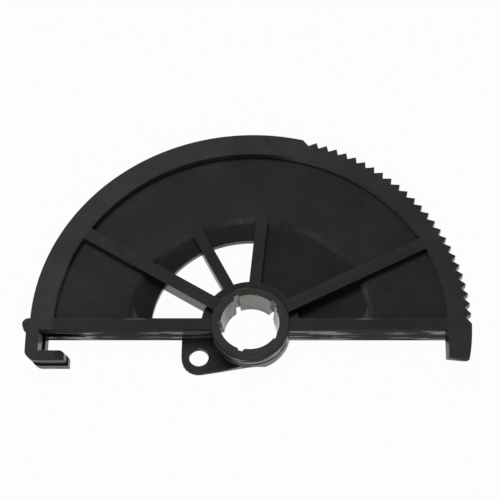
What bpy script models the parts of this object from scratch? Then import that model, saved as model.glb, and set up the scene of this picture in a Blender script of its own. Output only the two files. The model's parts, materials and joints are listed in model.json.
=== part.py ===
"""Sector gear of a self-adjusting cable mechanism: one black moulding.

Metres, +Z up. The part lies on its back. It is drawn round the bore's axis, with the front
face of rim, bar and teeth at height zero, and is then moved so that its footprint is centred
on the origin and its back touches the ground.
"""

from math import acos, atan2, ceil, cos, degrees, hypot, radians, sin

import bmesh
import bpy

# Toothed rim. Angles are in degrees, counter-clockwise from +X.
TIP_RADIUS = 0.06325
TOOTH_DEPTH = 0.00165
TOOTH_PITCH = 2.90
TOOTH_COUNT = 25
FIRST_TIP_ANGLE = 2.73
STEEP_FLANK_ANGLE = 1.08
RUN_OUT_ANGLE = 1.95
RIM_SETBACK = 0.0001
RIM_WIDTH = 0.00675

# The rim's edge holds a cable groove between a thin front flange and a lower rear one.
FRONT_FLANGE_DEPTH = 0.0025
GROOVE_WIDTH = 0.0023
GROOVE_DEPTH = 0.0012
REAR_FLANGE_STEP = 0.0009
BACK_DEPTH = 0.0070

# Straight bar along the chord, and the web behind it.
BAR_TOP = 0.0015
BAR_BOTTOM = -0.00214
SHALLOW_DEPTH = 0.0018
WEB_WALL = 0.0016
STEP_RADIUS = 0.0350
STEP_SLOPE = 0.0006
RIM_DRAFT = 0.0004

# Ribs that are flush with the rim, and lower spokes in the deep part of the web.
RIB_WIDTH = 0.0039
LEFT_RIB_ANGLE = 148.5
RIGHT_RIB_ANGLE = 27.4
SPOKE_WIDTH = 0.0034
INNER_SPOKE_ANGLE = 117.3
MIDDLE_SPOKE_ANGLE = 85.0
WINDOW_RADIUS = 0.0286
WINDOW_LEDGE = 0.0003

# Hub, and its bore, which narrows towards the back and carries three low lands.
HUB_RADIUS = 0.01146
HUB_RISE = 0.0004
HUB_CHAMFER = 0.0004
HUB_FLAT = 0.0106
BORE_RADIUS = 0.0088
BORE_TAPER = 0.0009
COLLAR_RADIUS = 0.0142
LAND_HEIGHT = 0.0004
LAND_SPANS = ((124.0, 176.0), (260.0, 324.0), (336.0, 388.0))
NOTCH_ANGLES = (116.0, 183.0, 253.0)
NOTCH_WIDTH = 0.0015
NOTCH_DEPTH = 0.0006
KEYWAY_ANGLE = 42.0
KEYWAY_WIDTH = 0.0019
KEYWAY_DEPTH = 0.0007

# Thin ear with a hole, level with the back.
EAR_THICKNESS = 0.0015
EAR_HOLE_X = -0.0147
EAR_HOLE_Y = -0.0083
EAR_HOLE_RADIUS = 0.0028
EAR_RIM = 0.0050
EAR_CORNER_X = 0.0009

# Stop foot at the toothed end.
FOOT_WIDTH = 0.0068
FOOT_LENGTH = 0.0088
FOOT_SLANT = 0.0005
FOOT_CORNER = 0.0011
FOOT_DRAFT = 0.0008

# Cable hook at the smooth end. It leans towards the hub as it goes back, and the cable groove
# runs round it between a front and a rear cheek.
HOOK_REACH = 0.00095
HOOK_LIMB_WIDTH = 0.0037
HOOK_SLOT_HEIGHT = 0.00656
HOOK_ARM_WIDTH = 0.0026
HOOK_ARM_LENGTH = 0.01135
HOOK_CORNER = 0.0025
HOOK_TIP = 0.0015
HOOK_LEAN = 0.0021
HOOK_ARM_RISE = 0.0014
HOOK_SETBACK = 0.0001
CORE_INSET = 0.0008
NUB_RADIUS = 0.00185
NUB_REACH = 0.00125
NUB_Y = -0.0003

# Groove run-out in the bar's underside, and moulding marks.
RUN_OUT_INSET = 0.0078
RUN_OUT_DEPTH = 0.0011
RUN_OUT_LENGTH = 0.0085
PIN_MARK_INSET = 0.01645
PIN_MARK_Y = 0.0096
PIN_MARK_SIZE = 0.0045
PIN_MARK_CORNER = 0.0010
PIN_MARK_DEPTH = 0.00025

# Fineness of the facets, and how far cutters reach past what they cut.
ARC_STEP = 1.5
LATHE_SEGMENTS = 240
HUB_SEGMENTS = 96
SMALL_SEGMENTS = 32
REACH = 0.0020
SEAT = 0.0010

RIM_RADIUS = TIP_RADIUS - RIM_SETBACK
RIM_INNER_RADIUS = RIM_RADIUS - RIM_WIDTH
ROOT_RADIUS = TIP_RADIUS - TOOTH_DEPTH
GROOVE_RADIUS = ROOT_RADIUS - GROOVE_DEPTH
REAR_FLANGE_RADIUS = GROOVE_RADIUS + REAR_FLANGE_STEP
REAR_FLANGE_FRONT = FRONT_FLANGE_DEPTH + GROOVE_WIDTH
DEEP_DEPTH = SHALLOW_DEPTH + WEB_WALL
WEB_BACK_DEPTH = DEEP_DEPTH + WEB_WALL
FOOT_INNER_X = TIP_RADIUS - FOOT_WIDTH
HOOK_OUTER_X = -RIM_RADIUS - HOOK_REACH
EAR_FRONT_DEPTH = BACK_DEPTH - EAR_THICKNESS
BORE_SLOPE = BORE_TAPER / (BACK_DEPTH + HUB_RISE)


def polar(radius, angle, centre=(0.0, 0.0)):
    return (centre[0] + radius * cos(radians(angle)), centre[1] + radius * sin(radians(angle)))


def arc(radius, start, end, centre=(0.0, 0.0), step=ARC_STEP):
    """Points on an arc from start to end, both included."""
    count = max(1, ceil(abs(end - start) / step))
    return [polar(radius, start + (end - start) * index / count, centre) for index in range(count + 1)]


def rounded(corner, before, after, radius, step=15.0):
    """Points of a fillet at a corner between two straight sides of an outline."""
    to_before = atan2(before[1] - corner[1], before[0] - corner[0])
    to_after = atan2(after[1] - corner[1], after[0] - corner[0])
    turn = (to_after - to_before + radians(540)) % radians(360) - radians(180)
    half = abs(turn) / 2
    middle = to_before + turn / 2
    reach = radius / sin(half)
    centre = (corner[0] + reach * cos(middle), corner[1] + reach * sin(middle))
    side = 1 if turn > 0 else -1
    start = degrees(to_before) - 90 * side
    sweep = side * (180 - degrees(2 * half))
    return arc(radius, start, start - sweep, centre, step)


def new_object(name, mesh_data):
    mesh_data.normal_update()
    mesh = bpy.data.meshes.new(name)
    bmesh.ops.recalc_face_normals(mesh_data, faces=mesh_data.faces)
    mesh_data.to_mesh(mesh)
    mesh_data.free()
    result = bpy.data.objects.new(name, mesh)
    bpy.context.collection.objects.link(result)
    return result


def prism(name, outline, front, back, back_outline=None):
    """An outline in the XY plane, drawn from one depth below the front face to another.

    The back outline has as many points as the front one, and is the same if none is given.
    """
    shape = bmesh.new()
    near = [shape.verts.new((x, y, -front)) for x, y in outline]
    far = [shape.verts.new((x, y, -back)) for x, y in back_outline or outline]
    shape.faces.new(near)
    shape.faces.new(reversed(far))
    for index in range(len(near)):
        before = index - 1
        shape.faces.new((near[before], far[before], far[index], near[index]))
    return new_object(name, shape)


def lathe(name, profile, segments=LATHE_SEGMENTS):
    """A closed profile of (radius, depth) points that starts and ends on the axis, spun about Z."""
    shape = bmesh.new()
    loop = [shape.verts.new((radius, 0.0, -depth)) for radius, depth in profile]
    edges = [shape.edges.new(pair) for pair in zip(loop, loop[1:])]
    bmesh.ops.spin(
        shape,
        geom=loop + edges,
        cent=(0.0, 0.0, 0.0),
        axis=(0.0, 0.0, 1.0),
        angle=radians(360),
        steps=segments,
    )
    bmesh.ops.remove_doubles(shape, verts=shape.verts, dist=1e-6)
    return new_object(name, shape)


def cylinder(name, centre, radius, front, back, segments=HUB_SEGMENTS):
    circle = [polar(radius, 360 * index / segments, centre) for index in range(segments)]
    return prism(name, circle, front, back)


def box(name, low, high, front, back):
    outline = [(low[0], low[1]), (high[0], low[1]), (high[0], high[1]), (low[0], high[1])]
    return prism(name, outline, front, back)


def radial_bar(name, angle, inner, outer, width, front, back):
    """A straight bar that lies along a radius."""
    half = width / 2
    corners = [(inner, -half), (outer, -half), (outer, half), (inner, half)]
    outline = [polar(hypot(x, y), angle + degrees(atan2(y, x))) for x, y in corners]
    return prism(name, outline, front, back)


def combine(body, tool, operation):
    """Join a tool shape to the body, or cut it out, with an exact Boolean."""
    tool.hide_render = True
    tool.display_type = "WIRE"
    modifier = body.modifiers.new(tool.name, "BOOLEAN")
    modifier.operation = operation
    modifier.solver = "EXACT"
    modifier.object = tool


def add(body, tool):
    combine(body, tool, "UNION")


def cut(body, tool):
    combine(body, tool, "DIFFERENCE")


def tooth_points():
    """Sawtooth edge from the stop foot to the smooth rim, tip and root by turns."""
    points = [polar(TIP_RADIUS, FIRST_TIP_ANGLE - TOOTH_PITCH)]
    for index in range(TOOTH_COUNT):
        tip_angle = FIRST_TIP_ANGLE + TOOTH_PITCH * index
        points.append(polar(ROOT_RADIUS, tip_angle - STEEP_FLANK_ANGLE))
        points.append(polar(TIP_RADIUS, tip_angle))
    last_root = FIRST_TIP_ANGLE + TOOTH_PITCH * TOOTH_COUNT - STEEP_FLANK_ANGLE
    points.append(polar(ROOT_RADIUS, last_root))
    return points, last_root + RUN_OUT_ANGLE


def foot_points():
    """Stop foot, from its inner top corner round to the start of the teeth."""
    inner_bottom = (FOOT_INNER_X, BAR_BOTTOM - FOOT_LENGTH + FOOT_SLANT)
    low = BAR_BOTTOM - FOOT_LENGTH
    outer_angle = degrees(atan2(low, (TIP_RADIUS**2 - low**2) ** 0.5))
    outer_bottom = polar(TIP_RADIUS, outer_angle)
    slant_end = (outer_bottom[0] - 2 * FOOT_CORNER, low)
    outer_start = polar(TIP_RADIUS, outer_angle + 2)
    points = [(FOOT_INNER_X, BAR_BOTTOM), inner_bottom, slant_end]
    points += rounded(outer_bottom, slant_end, outer_start, FOOT_CORNER)
    points += arc(TIP_RADIUS, outer_angle + 2, FIRST_TIP_ANGLE - TOOTH_PITCH)[:-1]
    return points


def hook_outline(depth, slot_top, inset=0.0):
    """Hook outline at one depth, from the limb's outer top corner round to its inner top corner."""
    share = depth / BACK_DEPTH
    lean = HOOK_LEAN * share
    outer_x = HOOK_OUTER_X + lean + inset
    inner_x = HOOK_OUTER_X + HOOK_LIMB_WIDTH + lean - inset
    end_x = HOOK_OUTER_X + HOOK_ARM_LENGTH + lean / 2 - inset
    arm_top = BAR_BOTTOM - HOOK_SLOT_HEIGHT + HOOK_ARM_RISE * share - inset
    arm_bottom = BAR_BOTTOM - HOOK_SLOT_HEIGHT - HOOK_ARM_WIDTH + inset
    corner = HOOK_CORNER - inset
    tip = HOOK_TIP - inset / 2
    outline = [(outer_x, slot_top)]
    outline += arc(corner, 180, 270, (outer_x + corner, arm_bottom + corner), 15)
    outline.append((end_x, arm_bottom))
    outline += arc(tip, 0, 90, (end_x - tip, arm_top - tip), 15)
    outline += [(inner_x, arm_top), (inner_x, slot_top)]
    return outline


def front_hook(depth, limb_top):
    """The hook's part of the front plate's outline, which ends at the bar's lower face."""
    points = hook_outline(depth, limb_top)[1:]
    points[-1] = (points[-1][0], BAR_BOTTOM)
    return points


def front_plate():
    """Front flange with teeth, foot, nub and the hook's front cheek, as one flat outline."""
    teeth, rim_start = tooth_points()
    nub_centre = (HOOK_OUTER_X - NUB_REACH + NUB_RADIUS, NUB_Y)
    nub_top = (nub_centre[0], nub_centre[1] + NUB_RADIUS)
    rim_end = degrees(atan2(nub_top[1], -((RIM_RADIUS**2 - nub_top[1] ** 2) ** 0.5)))
    nub_foot = degrees(atan2(-((NUB_RADIUS**2 - (NUB_RADIUS - NUB_REACH) ** 2) ** 0.5),
                             NUB_REACH - NUB_RADIUS)) + 360
    nub_edge = polar(NUB_RADIUS, nub_foot, nub_centre)[1]

    foot = foot_points()
    rim = teeth + arc(RIM_RADIUS, rim_start, rim_end)
    nub = arc(NUB_RADIUS, 90, nub_foot, nub_centre, 15)
    outline = foot + rim + nub + front_hook(0.0, nub_edge)
    foot[0] = (foot[0][0] - FOOT_DRAFT, foot[0][1])
    foot[1] = (foot[1][0] - FOOT_DRAFT, foot[1][1])
    back_outline = foot + rim + nub + front_hook(FRONT_FLANGE_DEPTH, nub_edge)
    return prism("sector_gear", outline, 0.0, FRONT_FLANGE_DEPTH, back_outline)


def half_disc(name, radius, low_y, front, back):
    """A disc cut off along a straight line just below its centre."""
    low = degrees(atan2(low_y, (radius**2 - low_y**2) ** 0.5))
    return prism(name, arc(radius, low, 180 - low), front, back)


def hollow(name, profile):
    """A turned hollow in the web, limited by the straight bar."""
    tool = lathe(name, profile)
    below = box(name + "_limit", (-RIM_RADIUS - REACH, -RIM_RADIUS - REACH),
                (RIM_RADIUS + REACH, BAR_TOP), -2 * REACH, BACK_DEPTH + 2 * REACH)
    cut(tool, below)
    return tool


def shape_rim_and_web(body):
    """Rim core, rear flange, straight bar, and the web hollowed from the front and the back."""
    add(body, half_disc("rim_core", GROOVE_RADIUS, BAR_BOTTOM, SEAT, BACK_DEPTH - SEAT))
    add(body, half_disc("rear_flange", REAR_FLANGE_RADIUS, BAR_BOTTOM, REAR_FLANGE_FRONT, BACK_DEPTH))
    front = [(0.0, -REACH), (RIM_INNER_RADIUS, -REACH), (RIM_INNER_RADIUS, SHALLOW_DEPTH)]
    front += [(STEP_RADIUS + STEP_SLOPE, SHALLOW_DEPTH), (STEP_RADIUS - STEP_SLOPE, DEEP_DEPTH)]
    front.append((0.0, DEEP_DEPTH))
    cut(body, hollow("front_hollow", front))
    outer_step = STEP_RADIUS + WEB_WALL
    back = [(0.0, BACK_DEPTH + REACH), (RIM_INNER_RADIUS + RIM_DRAFT, BACK_DEPTH + REACH)]
    back += [(RIM_INNER_RADIUS, DEEP_DEPTH), (outer_step, DEEP_DEPTH)]
    back += [(outer_step, WEB_BACK_DEPTH), (0.0, WEB_BACK_DEPTH)]
    cut(body, hollow("back_hollow", back))


def shape_windows_and_ribs(body):
    """A ring of window openings, parted by the ribs and spokes that run across it."""
    inner = (HUB_RADIUS + COLLAR_RADIUS) / 2
    low_y = BAR_TOP + WINDOW_LEDGE
    start = degrees(atan2(low_y, -((WINDOW_RADIUS**2 - low_y**2) ** 0.5)))
    inner_start = degrees(atan2(low_y, -((inner**2 - low_y**2) ** 0.5)))
    outline = arc(WINDOW_RADIUS, MIDDLE_SPOKE_ANGLE, start)
    outline += arc(inner, inner_start, MIDDLE_SPOKE_ANGLE, step=2 * ARC_STEP)
    cut(body, prism("window_ring", outline, SHALLOW_DEPTH / 2, WEB_BACK_DEPTH + REACH))

    rib_start = (BORE_RADIUS + HUB_RADIUS) / 2
    rib_end = (RIM_INNER_RADIUS + GROOVE_RADIUS) / 2
    for name, angle in (("left_rib", LEFT_RIB_ANGLE), ("right_rib", RIGHT_RIB_ANGLE)):
        add(body, radial_bar(name, angle, rib_start, rib_end, RIB_WIDTH, 0.0, WEB_BACK_DEPTH))
    spoke_end = STEP_RADIUS + WEB_WALL / 2
    for name, angle in (("inner_spoke", INNER_SPOKE_ANGLE), ("middle_spoke", MIDDLE_SPOKE_ANGLE)):
        add(body, radial_bar(name, angle, rib_start, spoke_end, SPOKE_WIDTH, SHALLOW_DEPTH, WEB_BACK_DEPTH))


def ear_outline():
    """Ear with a rounded end round its hole and a long straight lower side up to the hub's flat."""
    run = EAR_CORNER_X - EAR_HOLE_X
    rise = -HUB_FLAT - EAR_HOLE_Y
    tangent = degrees(atan2(rise, run) - acos(EAR_RIM / hypot(run, rise)))
    outline = arc(EAR_RIM, 180, 360 + tangent, (EAR_HOLE_X, EAR_HOLE_Y), 15)
    outline += [(EAR_CORNER_X, -HUB_FLAT), (EAR_CORNER_X, 0.0)]
    outline.append((EAR_HOLE_X - EAR_RIM, (BAR_TOP + BAR_BOTTOM) / 2))
    return outline


def hub_disc():
    """Hub with a chamfered front edge, and a flat on its lower side where it meets the ear."""
    face = -HUB_RISE
    profile = [(0.0, face), (HUB_RADIUS - HUB_CHAMFER, face), (HUB_RADIUS, face + HUB_CHAMFER)]
    profile += [(HUB_RADIUS, BACK_DEPTH), (0.0, BACK_DEPTH)]
    disc = lathe("hub", profile, HUB_SEGMENTS)
    cut(disc, box("hub_flat", (-HUB_RADIUS - REACH, -HUB_RADIUS - REACH),
                  (HUB_RADIUS + REACH, -HUB_FLAT), EAR_FRONT_DEPTH, BACK_DEPTH + REACH))
    return disc


def bore_radius(depth):
    return BORE_RADIUS - BORE_SLOPE * (depth + HUB_RISE)


def shape_bore(body):
    """Tapered bore with its lands, notches and keyway."""
    front = -HUB_RISE - REACH
    back = BACK_DEPTH + REACH
    cone = [(0.0, front), (bore_radius(front), front), (bore_radius(back), back), (0.0, back)]
    bore = lathe("bore", cone, HUB_SEGMENTS)
    land_front = -HUB_RISE / 2
    land_back = back + REACH
    for index, (start, end) in enumerate(LAND_SPANS):
        outer = arc(HUB_RADIUS, end, start, step=2 * ARC_STEP)
        outlines = [arc(bore_radius(depth) - LAND_HEIGHT, start, end, step=2 * ARC_STEP) + outer
                    for depth in (land_front, land_back)]
        cut(bore, prism(f"bore_land_{index}", outlines[0], land_front, land_back, outlines[1]))
    inner = bore_radius(back) - 2 * LAND_HEIGHT
    for index, angle in enumerate(NOTCH_ANGLES):
        add(bore, radial_bar(f"notch_{index}", angle, inner, BORE_RADIUS + NOTCH_DEPTH, NOTCH_WIDTH,
                             front + REACH / 4, back - REACH / 4))
    add(bore, radial_bar("keyway", KEYWAY_ANGLE, inner, BORE_RADIUS + KEYWAY_DEPTH, KEYWAY_WIDTH,
                         front + REACH / 4, back - REACH / 4))
    cut(body, bore)


def shape_hub(body):
    """Hub, its collar, and the ear behind the bar with its hole."""
    add(body, half_disc("collar", COLLAR_RADIUS, 0.0, SHALLOW_DEPTH, WEB_BACK_DEPTH + SEAT / 2))
    add(body, prism("ear", ear_outline(), EAR_FRONT_DEPTH, BACK_DEPTH))
    add(body, hub_disc())
    cut(body, cylinder("ear_hole", (EAR_HOLE_X, EAR_HOLE_Y), EAR_HOLE_RADIUS,
                       EAR_FRONT_DEPTH - REACH / 2, BACK_DEPTH + REACH, SMALL_SEGMENTS))


def shape_hook(body):
    """Core and rear cheek of the cable hook, and the groove's run-out in the bar."""
    radius = (RUN_OUT_LENGTH**2 + RUN_OUT_DEPTH**2) / (2 * RUN_OUT_DEPTH)
    middle = -RIM_RADIUS + RUN_OUT_INSET
    half = degrees(atan2(RUN_OUT_LENGTH, radius - RUN_OUT_DEPTH))
    outline = arc(radius, 90 - half, 90 + half, (middle, BAR_BOTTOM + RUN_OUT_DEPTH - radius), 2 * ARC_STEP)
    outline += [(middle - RUN_OUT_LENGTH, BAR_BOTTOM - SEAT), (middle + RUN_OUT_LENGTH, BAR_BOTTOM - SEAT)]
    cut(body, prism("groove_run_out", outline, FRONT_FLANGE_DEPTH, REAR_FLANGE_FRONT))

    cheek_top = BAR_BOTTOM + SEAT
    cheek_front = REAR_FLANGE_FRONT + HOOK_SETBACK
    cheek_back = BACK_DEPTH - HOOK_SETBACK
    hook = prism("hook_rear_cheek", hook_outline(cheek_front, cheek_top), cheek_front, cheek_back,
                 hook_outline(cheek_back, cheek_top))
    core_top = cheek_top + SEAT / 2
    core_front = FRONT_FLANGE_DEPTH - SEAT / 4
    core_back = REAR_FLANGE_FRONT + SEAT / 4
    add(hook, prism("hook_core", hook_outline(core_front, core_top, CORE_INSET), core_front, core_back,
                    hook_outline(core_back, core_top, CORE_INSET)))
    add(body, hook)


def shape_marks(body):
    """Square ejector marks with rounded corners in the two lower pockets."""
    offset = PIN_MARK_SIZE / 2 - PIN_MARK_CORNER
    for side, x in (("left", PIN_MARK_INSET - RIM_RADIUS), ("right", RIM_RADIUS - PIN_MARK_INSET)):
        outline = []
        for start, along, across in ((0, 1, 1), (90, -1, 1), (180, -1, -1), (270, 1, -1)):
            centre = (x + along * offset, PIN_MARK_Y + across * offset)
            outline += arc(PIN_MARK_CORNER, start, start + 90, centre, 30)
        cut(body, prism(f"pin_mark_{side}", outline, SHALLOW_DEPTH - SEAT, SHALLOW_DEPTH + PIN_MARK_DEPTH))


def black_nylon():
    """Satin black moulding plastic."""
    material = bpy.data.materials.new("black_nylon")
    material.use_nodes = True
    shader = material.node_tree.nodes["Principled BSDF"]
    shader.inputs["Base Color"].default_value = (0.028, 0.028, 0.029, 1.0)
    shader.inputs["Roughness"].default_value = 0.45
    shader.inputs["Metallic"].default_value = 0.0
    return material


def stand_on_ground(body):
    """Centre the part over the origin, with its lowest face on the ground."""
    evaluated = body.evaluated_get(bpy.context.evaluated_depsgraph_get())
    corners = evaluated.bound_box
    low = [min(corner[axis] for corner in corners) for axis in range(3)]
    high = [max(corner[axis] for corner in corners) for axis in range(3)]
    stand = bpy.data.objects.new("stand", None)
    bpy.context.collection.objects.link(stand)
    for item in [item for item in bpy.data.objects if item.type == "MESH"]:
        item.parent = stand
    stand.location = (-(low[0] + high[0]) / 2, -(low[1] + high[1]) / 2, -low[2])


def main():
    for item in list(bpy.data.objects):
        bpy.data.objects.remove(item)
    body = front_plate()
    shape_rim_and_web(body)
    shape_windows_and_ribs(body)
    shape_hub(body)
    shape_bore(body)
    shape_hook(body)
    shape_marks(body)
    body.data.materials.append(black_nylon())
    stand_on_ground(body)


main()
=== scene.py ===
import json
from math import cos, radians, sin

import bpy
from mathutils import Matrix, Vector


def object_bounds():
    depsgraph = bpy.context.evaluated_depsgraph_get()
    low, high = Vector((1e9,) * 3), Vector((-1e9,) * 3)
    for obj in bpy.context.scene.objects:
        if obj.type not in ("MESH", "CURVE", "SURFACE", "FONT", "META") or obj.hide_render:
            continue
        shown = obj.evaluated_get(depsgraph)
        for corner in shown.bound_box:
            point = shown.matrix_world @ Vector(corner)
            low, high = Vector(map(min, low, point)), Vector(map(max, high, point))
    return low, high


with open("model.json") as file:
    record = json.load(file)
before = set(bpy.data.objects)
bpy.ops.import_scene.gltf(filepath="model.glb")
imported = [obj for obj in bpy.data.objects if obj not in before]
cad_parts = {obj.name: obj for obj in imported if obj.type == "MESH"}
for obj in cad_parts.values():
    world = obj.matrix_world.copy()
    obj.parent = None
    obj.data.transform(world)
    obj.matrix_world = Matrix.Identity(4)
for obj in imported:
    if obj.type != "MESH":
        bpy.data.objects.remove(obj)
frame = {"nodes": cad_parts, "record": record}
cadLow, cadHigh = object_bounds()
print("frame loaded")

gear = frame["nodes"]["sector_gear"]
mounts = {mount["name"]: Vector(mount["pos_m"]) for mount in frame["record"]["mounts"]}
hubRingMiddle = 0.00993  # radius at which the hub's face mount lies
hubRise = 0.0004  # how far the hub stands above the rim's face
boreTop = mounts["hub_face"] - Vector((0.0, hubRingMiddle, hubRise))  # bore's axis at the rim's face


# Camera: it looks down on the lying part from the straight bar's side.
cameraView = {
    "fromBore": (0.016002, -0.255825, 0.511109),
    "turn": (28.6790, 1.4337, 0.7130),
    "lens": 144.0,
    "sensor": 36.0,
    "shift": (-0.0002, 0.0004),
    "clip": (0.01, 20.0),
}


def makeCamera(values):
    data = bpy.data.cameras.new("camera")
    data.lens = values["lens"]
    data.sensor_width = values["sensor"]
    data.shift_x, data.shift_y = values["shift"]
    data.clip_start, data.clip_end = values["clip"]
    camera = bpy.data.objects.new("camera", data)
    camera.location = boreTop + Vector(values["fromBore"])
    camera.rotation_euler = [radians(angle) for angle in values["turn"]]
    bpy.context.scene.collection.objects.link(camera)
    bpy.context.scene.camera = camera


# A shader node. Each input is a value or another node's output.
def node(tree, kind, inputs=None, **settings):
    made = tree.nodes.new("ShaderNode" + kind)
    for name, value in settings.items():
        setattr(made, name, value)
    for name, value in (inputs or {}).items():
        if isinstance(value, bpy.types.NodeSocket):
            tree.links.new(value, made.inputs[name])
        else:
            made.inputs[name].default_value = value
    return made


def calc(tree, operation, first, second=0.0, third=0.0):
    return node(tree, "Math", {0: first, 1: second, 2: third}, operation=operation).outputs[0]


# All masks joined by one operation, from the first to the last.
def chain(tree, operation, masks):
    result = masks[0]
    for mask in masks[1:]:
        result = calc(tree, operation, result, mask)
    return result


# Where all of the masks are.
def both(tree, *masks):
    return chain(tree, "MULTIPLY", masks)


# Where at least one of the masks is.
def either(tree, *masks):
    return chain(tree, "MAXIMUM", masks)


def inverse(tree, mask):
    return calc(tree, "SUBTRACT", 1.0, mask)


# Zero below the low value, one above the high value, and smooth between them.
def ramp(tree, value, low, high):
    inputs = {"Value": value, "From Min": low, "From Max": high}
    return node(tree, "MapRange", inputs, interpolation_type="SMOOTHSTEP").outputs["Result"]


# A mask of what lies inside every one of the named spans. Each end of a span is a sharp limit, a
# pair of values for a soft one, or None.
def zone(tree, places, spans):
    limits = []
    for name, (start, end) in spans.items():
        if isinstance(start, tuple):
            limits.append(ramp(tree, places[name], *start))
        elif start is not None:
            limits.append(calc(tree, "GREATER_THAN", places[name], start))
        if isinstance(end, tuple):
            limits.append(inverse(tree, ramp(tree, places[name], *end)))
        elif end is not None:
            limits.append(calc(tree, "LESS_THAN", places[name], end))
    return both(tree, *limits)


def mixColour(tree, share, first, second):
    return node(tree, "Mix", {0: share, 6: first, 7: second}, data_type="RGBA").outputs[2]


def mixValue(tree, share, first, second):
    return node(tree, "Mix", {0: share, 2: first, 3: second}).outputs[0]


# A noise as a swing to both sides of zero.
def swing(tree, noise, share):
    return calc(tree, "MULTIPLY", calc(tree, "SUBTRACT", noise, 0.5), share)


def makeMaterial(name):
    material = bpy.data.materials.new(name)
    material.use_nodes = True
    material.node_tree.nodes.clear()
    return material, material.node_tree


# A node group's named outputs, each fed by one of its nodes.
def setOutputs(group, sources):
    output = group.nodes.new("NodeGroupOutput")
    for name, source in sources.items():
        group.interface.new_socket(name, in_out="OUTPUT", socket_type="NodeSocketFloat")
        group.links.new(source, output.inputs[name])


# White table and soft light.
studio = {
    "floorSize": 4.0,
    "floorColour": (0.90, 0.90, 0.90, 1.0),
    "floorGlow": 0.97,
    "worldColour": (0.10, 0.10, 0.10, 1.0),
    "lamps": [
        # name, place, size, power
        ("keyLight", (-0.16, 0.40, 0.88), 0.45, 1.35),
        ("fillLight", (0.05, -0.80, 0.42), 0.60, 1.2),
    ],
}


def makeFloor(values):
    bpy.ops.mesh.primitive_plane_add(size=values["floorSize"], location=(0.0, 0.0, cadLow[2]))
    floor = bpy.context.object
    floor.name = "floor"
    material, tree = makeMaterial("whiteTable")
    matte = node(tree, "BsdfDiffuse", {"Color": values["floorColour"]})
    glow = node(tree, "Emission", {"Strength": 1.0})  # white where the camera sees it
    rays = node(tree, "LightPath").outputs
    seen = either(tree, rays["Is Camera Ray"], rays["Is Glossy Ray"], rays["Is Transmission Ray"])
    share = calc(tree, "MULTIPLY", seen, values["floorGlow"])
    mix = node(tree, "MixShader", {"Fac": share, 1: matte.outputs[0], 2: glow.outputs[0]})
    node(tree, "OutputMaterial", {"Surface": mix.outputs[0]})
    floor.data.materials.append(material)


def makeLights(values):
    world = bpy.data.worlds.new("softRoom")
    world.use_nodes = True
    world.node_tree.nodes["Background"].inputs["Color"].default_value = values["worldColour"]
    bpy.context.scene.world = world
    for name, place, size, power in values["lamps"]:
        data = bpy.data.lights.new(name, "AREA")
        data.size = size
        data.energy = power
        lamp = bpy.data.objects.new(name, data)
        lamp.location = place
        lamp.rotation_euler = (-Vector(place)).to_track_quat("-Z", "Y").to_euler()
        bpy.context.scene.collection.objects.link(lamp)


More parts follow.
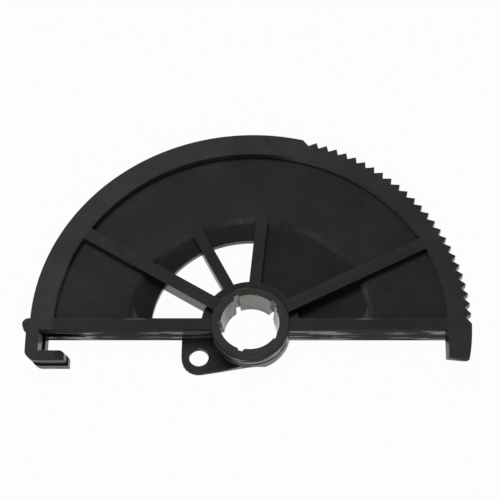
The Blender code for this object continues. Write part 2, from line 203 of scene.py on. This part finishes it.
# Sector gear in black nylon: satin faces, a darker web, shinier side walls, and a bore and a hook
# slot that are pale with painted reflection, tinted olive. Its colours also hold painted light and
# shade: a darker deep floor and underside, shade under the ribs, a paler step, ear, hub edge and
# pocket walls, glints, edge highlights and reflection streaks. Lengths are in metres and angles in
# degrees.
sectorGear = {
    "edges": {
        "mergeDistance": 0.000002,
        "flatAngle": 0.3,
        "bevelAngle": 28.0,
        "bevelWidth": 0.00018,
        "bevelSegments": 2,
    },
    "colours": {
        "rim": (0.0225, 0.0225, 0.0229, 1.0),
        "bar": (0.0135, 0.0135, 0.0138, 1.0),
        "web": (0.0115, 0.0115, 0.0117, 1.0),
        # painted shade: the deep floor is darker than the web
        "deep": (0.0070, 0.0070, 0.0072, 1.0),
        "wall": (0.0100, 0.0100, 0.0103, 1.0),
        # painted light: the step's slope is paler so that its shaded wall blends in
        "step": (0.095, 0.095, 0.096, 1.0),
        "glint": (0.150, 0.150, 0.150, 1.0),
        "ribShade": (0.0010, 0.0010, 0.0010, 1.0),
        # painted light: the ear is paler where the bar shades it
        "ear": (0.050, 0.050, 0.050, 1.0),
        # painted glints where the step meets the bar
        "flowMark": (0.140, 0.140, 0.140, 1.0),
        # painted light on the pocket walls
        "paleWall": (0.200, 0.200, 0.201, 1.0),
        # painted light on the outer edge of the hub's ring
        "hubEdge": (0.050, 0.050, 0.051, 1.0),
        # painted reflection on the bore and hook slot walls, tinted olive
        "paintedReflection": (0.480, 0.485, 0.420, 1.0),
        # painted shade: the bar's underside is darker
        "underside": (0.0060, 0.0060, 0.0062, 1.0),
        # painted reflections: pale streaks along the underside
        "reflectionStreaks": (0.260, 0.260, 0.250, 1.0),
    },
    "roughness": {
        "rim": 0.50,
        "bar": 0.56,
        "web": 0.58,
        "deep": 0.64,
        "wall": 0.30,
        "underside": 0.85,
        "reflectionStreaks": 0.22,
        "paintedReflection": 0.12,
    },
    "ior": 1.60,
    "ribAngles": {"left": 148.5, "right": 27.4},  # counter-clockwise from the bar's toothed end
    "facing": {
        # part of the surface's normal where each direction starts, and where it is full
        "level": (0.35, 0.75),
        "faceUp": (0.75, 0.95),
        "toRight": (0.3, 0.7),
        "toFront": (0.3, 0.6),
    },
    "zones": {
        # place: (start, end)
        "insideRim": {"radius": (None, (0.0556, 0.0572))},
        "outsideHub": {"radius": (0.0114, None)},
        "web": {"depth": ((0.0008, 0.0014), None)},
        "deep": {"depth": ((0.0026, 0.0031), None)},
        "bore": {"radius": (None, 0.0096)},
        "hubEdge": {"radius": (0.0102, 0.0117), "depth": (None, 0.0003)},
        "hookSlot": {"across": (None, -0.0560), "height": (None, -0.0030)},
        "hookArm": {"across": (None, -0.0430), "height": (None, -0.0085)},
        "ear": {
            "depth": (0.0030, None),
            "across": (-0.0240, (-0.0170, -0.0070)),
            "height": (None, -0.0025),
        },
        "step": {
            "radius": ((0.0335, 0.0340), 0.0361),
            "ribGap": (0.0026, None),
            "height": (0.0016, None),
        },
        "stepAtRight": {"across": (0.0, None), "height": (None, 0.0125)},
        "stepFoot": {"height": (None, (0.0050, 0.0072))},
        "aboveHub": {"across": ((-0.018, -0.010), (0.009, 0.016)), "height": ((0.022, 0.028), None)},
        "pinMark": {"sideways": (0.0365, 0.0435), "height": (0.0058, 0.0125)},
        "underLeftRib": {
            "leftGap": (None, (0.0035, 0.0070)),
            "leftRise": (None, 0.0),
            "across": (None, 0.0),
        },
        "underRightRib": {
            "rightGap": (None, (0.0035, 0.0070)),
            "rightRise": (None, 0.0),
            "across": (0.0, None),
        },
        "paleWall": {"radius": ((0.0355, 0.0460), 0.0570), "height": (0.0012, None)},
        "upperLeft": {"across": (None, (0.004, 0.016)), "height": ((0.016, 0.022), None)},
        "rightRib": {"rightGap": (None, 0.0026), "across": (0.0, None)},
        "flowMark": {"height": (0.0010, 0.0070)},
        "underside": {"radius": (0.0114, None), "height": (None, -0.0009)},
        "upperStrip": {"depth": ((0.0008, 0.0016), (0.0030, 0.0036))},
        "lowerStrip": {"depth": ((0.0040, 0.0046), (0.0066, 0.0070))},
        "barHighlight": {"height": ((0.0007, 0.0013), 0.0019)},
        "leftRibHighlight": {
            "leftRise": ((0.0003, 0.0012), 0.0022),
            "radius": ((0.036, 0.040), (0.044, 0.049)),
        },
        "rightRibHighlight": {
            "rightRise": ((0.0003, 0.0012), 0.0022),
            "radius": ((0.016, 0.024), None),
        },
    },
    "flowMark": {
        "middle": 0.0340,  # to either side of the bore, at the mark's tip
        "lean": -0.0010,
        "length": 0.0055,
        "width": 0.0005,
        "widening": 0.0034,
    },
    "reflectionStreaks": {
        "cut": (0.45, 0.56),
        "stepPlace": 0.0350,
        "dullReach": (0.001, 0.012),
        "hookArmShare": 0.65,
    },
    # painted highlights along the upper edges of the bar and the ribs
    "edgeHighlights": {"cut": (0.40, 0.60), "share": 0.9},
    "upperLeftShare": 0.85,
    "noises": {
        # scale, detail
        "mottle": (90.0, 2.0),
        "blotch": (420.0, 3.0),
        "grain": (5200.0, 2.0),
    },
    "flowStretch": (90.0, 90.0, 700.0),
    "flowDetail": 2.0,
    "mottleShare": 1.0,
    "blotchShare": 0.5,
    "roughnessShare": -0.12,
    "dishRadius": (0.0260, 0.0355),
    "dishDepth": 0.0014,
    "grainDepth": 0.000012,
}


# Triangles of one face are joined first, and then the sharp edges get a small rounding.
def roundEdges(item, values):
    weld = item.modifiers.new("weld", "WELD")
    weld.merge_threshold = values["mergeDistance"]
    flat = item.modifiers.new("flat", "DECIMATE")
    flat.decimate_type = "DISSOLVE"
    flat.angle_limit = radians(values["flatAngle"])
    bevel = item.modifiers.new("bevel", "BEVEL")
    bevel.limit_method = "ANGLE"
    bevel.angle_limit = radians(values["bevelAngle"])
    bevel.width = values["bevelWidth"]
    bevel.segments = values["bevelSegments"]
    bevel.use_clamp_overlap = True


# Where a point lies on the moulding, and which way its surface faces. Radius, across and height
# are measured from the bore's axis, and depth from the rim's face downwards. A rib's rise is how
# far a point lies above the rib's middle line, and its gap is the distance from that line.
def makePlacesGroup(values):
    group = bpy.data.node_groups.new("places", "ShaderNodeTree")
    coordinates = node(group, "TexCoord").outputs["Object"]
    fromBore = node(group, "VectorMath", {0: coordinates, 1: boreTop}, operation="SUBTRACT")
    parts = node(group, "SeparateXYZ", {0: fromBore.outputs[0]})
    across, height = parts.outputs["X"], parts.outputs["Y"]
    flat = node(group, "CombineXYZ", {"X": across, "Y": height})
    radius = node(group, "VectorMath", {0: flat.outputs[0]}, operation="LENGTH")
    places = {
        "radius": radius.outputs["Value"],
        "depth": calc(group, "MULTIPLY", parts.outputs["Z"], -1.0),
        "across": across,
        "sideways": calc(group, "ABSOLUTE", across),
        "height": height,
    }

    for rib, angle in values["ribAngles"].items():
        side = -1.0 if rib == "left" else 1.0
        tilt = calc(group, "MULTIPLY", across, -side * sin(radians(angle)))
        rise = calc(group, "MULTIPLY_ADD", height, side * cos(radians(angle)), tilt)
        places[rib + "Rise"] = rise
        places[rib + "Gap"] = calc(group, "ABSOLUTE", rise)
    places["ribGap"] = calc(group, "MINIMUM", places["leftGap"], places["rightGap"])

    normal = node(group, "SeparateXYZ", {0: node(group, "NewGeometry").outputs["True Normal"]})
    steepness = calc(group, "ABSOLUTE", normal.outputs["Z"])
    forwards = calc(group, "MULTIPLY", normal.outputs["Y"], -1.0)
    facing = values["facing"]
    places["wall"] = inverse(group, ramp(group, steepness, *facing["level"]))
    places["faceUp"] = ramp(group, normal.outputs["Z"], *facing["faceUp"])
    places["toRight"] = ramp(group, normal.outputs["X"], *facing["toRight"])
    places["toFront"] = ramp(group, forwards, *facing["toFront"])
    setOutputs(group, places)
    return group


# Mould texture: broad mottling, small blotches, a fine spark-eroded grain, and a noise drawn out
# along the walls that breaks up the painted reflection streaks.
def makeTextureGroup(values):
    group = bpy.data.node_groups.new("mouldTexture", "ShaderNodeTree")
    coordinates = node(group, "TexCoord").outputs["Object"]
    noises = {}
    for name, (scale, detail) in values["noises"].items():
        inputs = {"Vector": coordinates, "Scale": scale, "Detail": detail}
        noises[name] = node(group, "TexNoise", inputs).outputs["Fac"]
    drawn = node(group, "Mapping", {"Vector": coordinates, "Scale": values["flowStretch"]}).outputs[0]
    inputs = {"Vector": drawn, "Scale": 1.0, "Detail": values["flowDetail"]}
    noises["flow"] = node(group, "TexNoise", inputs).outputs["Fac"]
    setOutputs(group, noises)
    return group


# Painted glints where the web's step runs into the bar. They widen and lean inwards as they go down.
def flowMarks(tree, places, masks, values):
    mark = values["flowMark"]
    top = values["zones"]["flowMark"]["height"][1]
    fall = calc(tree, "DIVIDE", calc(tree, "SUBTRACT", top, places["height"]), mark["length"])
    width = calc(tree, "MULTIPLY_ADD", both(tree, fall, fall), mark["widening"], mark["width"])
    middle = calc(tree, "MULTIPLY_ADD", fall, mark["lean"], mark["middle"])
    fromMiddle = calc(tree, "ABSOLUTE", calc(tree, "SUBTRACT", places["sideways"], middle))
    return both(tree, masks["flowMark"], inverse(tree, ramp(tree, fromMiddle, 0.0, width)))


# Painted reflection on the bar's long underside: two lighter strips with marks along them, which are
# dull where the step meets it. The hook's arm has the painted reflection all along.
def undersideStreaks(tree, places, flow, masks, values):
    reflectionStreaks = values["reflectionStreaks"]
    fromStep = calc(tree, "ABSOLUTE", calc(tree, "SUBTRACT", places["sideways"], reflectionStreaks["stepPlace"]))
    reflectionMarks = both(tree, ramp(tree, flow, *reflectionStreaks["cut"]), ramp(tree, fromStep, *reflectionStreaks["dullReach"]))
    hookArm = calc(tree, "MULTIPLY", masks["hookArm"], reflectionStreaks["hookArmShare"])
    strips = either(tree, masks["upperStrip"], masks["lowerStrip"])
    return both(tree, strips, either(tree, reflectionMarks, hookArm))


def blackNylon(values):
    material, tree = makeMaterial("blackNylon")
    places = node(tree, "Group", node_tree=makePlacesGroup(values)).outputs
    texture = node(tree, "Group", node_tree=makeTextureGroup(values)).outputs
    masks = {name: zone(tree, places, spans) for name, spans in values["zones"].items()}

    faceUp, wall, toFront = places["faceUp"], places["wall"], places["toFront"]
    notUp = inverse(tree, faceUp)
    web = both(tree, faceUp, masks["web"])
    deep = both(tree, web, masks["deep"])
    bar = both(tree, faceUp, masks["insideRim"], masks["outsideHub"], inverse(tree, web))
    # The step's slope carries painted light.
    step = both(tree, notUp, masks["step"], inverse(tree, masks["aboveHub"]))
    lowStep = both(tree, step, either(tree, masks["stepAtRight"], masks["stepFoot"]))
    # Painted reflection on the bore's wall and the hook slot's wall.
    boreReflection = both(tree, wall, masks["bore"])
    slotReflection = both(tree, places["toRight"], masks["hookSlot"])
    # The underside carries painted shade.
    underside = both(tree, toFront, masks["underside"])
    reflectionStreaks = undersideStreaks(tree, places, texture["flow"], masks, values)

    # Painted light on the pocket walls away from the hub, apart from the rim's upper left and the
    # right rib.
    upperLeft = calc(tree, "MULTIPLY", masks["upperLeft"], values["upperLeftShare"])
    paleWall = both(tree, wall, masks["paleWall"], inverse(tree, upperLeft),
                    inverse(tree, masks["rightRib"]))

    # Each layer lies over those before it, and the rim is under them all.
    layers = {
        "bar": bar,
        "web": web,
        # painted shade on the deep floor
        "deep": deep,
        "wall": wall,
        "step": step,
        "glint": either(tree, lowStep, both(tree, toFront, masks["pinMark"])),
        "ribShade": both(tree, deep, either(tree, masks["underRightRib"], masks["underLeftRib"])),
        # painted light on the ear
        "ear": both(tree, faceUp, masks["ear"]),
        "flowMark": flowMarks(tree, places, masks, values),
        "paleWall": paleWall,
        # painted light on the hub ring's edge
        "hubEdge": both(tree, notUp, masks["hubEdge"]),
        "paintedReflection": either(tree, boreReflection, slotReflection),
        "underside": underside,
        "reflectionStreaks": both(tree, underside, reflectionStreaks),
    }
    colour = values["colours"]["rim"]
    for name, mask in layers.items():
        colour = mixColour(tree, mask, colour, values["colours"][name])
    roughness = values["roughness"]["rim"]
    for name in ("bar", "web", "deep", "wall", "underside", "reflectionStreaks", "paintedReflection"):
        roughness = mixValue(tree, layers[name], roughness, values["roughness"][name])

    # Painted highlights along the upper edges of the bar and the ribs, broken up by the blotches.
    edgeHighlights = either(tree, masks["barHighlight"], masks["rightRibHighlight"], masks["leftRibHighlight"])
    edgeHighlights = both(tree, edgeHighlights, bar, ramp(tree, texture["blotch"], *values["edgeHighlights"]["cut"]))

    # Random tone swings from the mould texture.
    mottle = swing(tree, texture["mottle"], values["mottleShare"])
    blotch = swing(tree, texture["blotch"], values["blotchShare"])
    toneSwing = calc(tree, "ADD", mottle, blotch)
    bright = calc(tree, "MULTIPLY_ADD", edgeHighlights, values["edgeHighlights"]["share"], calc(tree, "ADD", toneSwing, 1.0))
    colour = node(tree, "VectorMath", {0: colour, "Scale": bright}, operation="SCALE").outputs[0]
    roughness = calc(tree, "MULTIPLY_ADD", toneSwing, values["roughnessShare"], roughness)

    # The deep floor is slightly dished, and all faces have the grain.
    dished = node(tree, "Bump", {
        "Height": ramp(tree, places["radius"], *values["dishRadius"]),
        "Distance": values["dishDepth"],
        "Strength": deep,
    })
    grained = node(tree, "Bump", {
        "Height": texture["grain"],
        "Distance": values["grainDepth"],
        "Strength": 1.0,
        "Normal": dished.outputs[0],
    })
    shader = node(tree, "BsdfPrincipled", {
        "Base Color": colour,
        "Roughness": roughness,
        "IOR": values["ior"],
        "Normal": grained.outputs[0],
    })
    node(tree, "OutputMaterial", {"Surface": shader.outputs[0]})
    return material


makeCamera(cameraView)
makeFloor(studio)
makeLights(studio)
print("camera, table and lights made")

roundEdges(gear, sectorGear["edges"])
gear.data.materials.clear()
gear.data.materials.append(blackNylon(sectorGear))
print("sector gear dressed")

scene = bpy.context.scene
scene.view_settings.view_transform = "Standard"
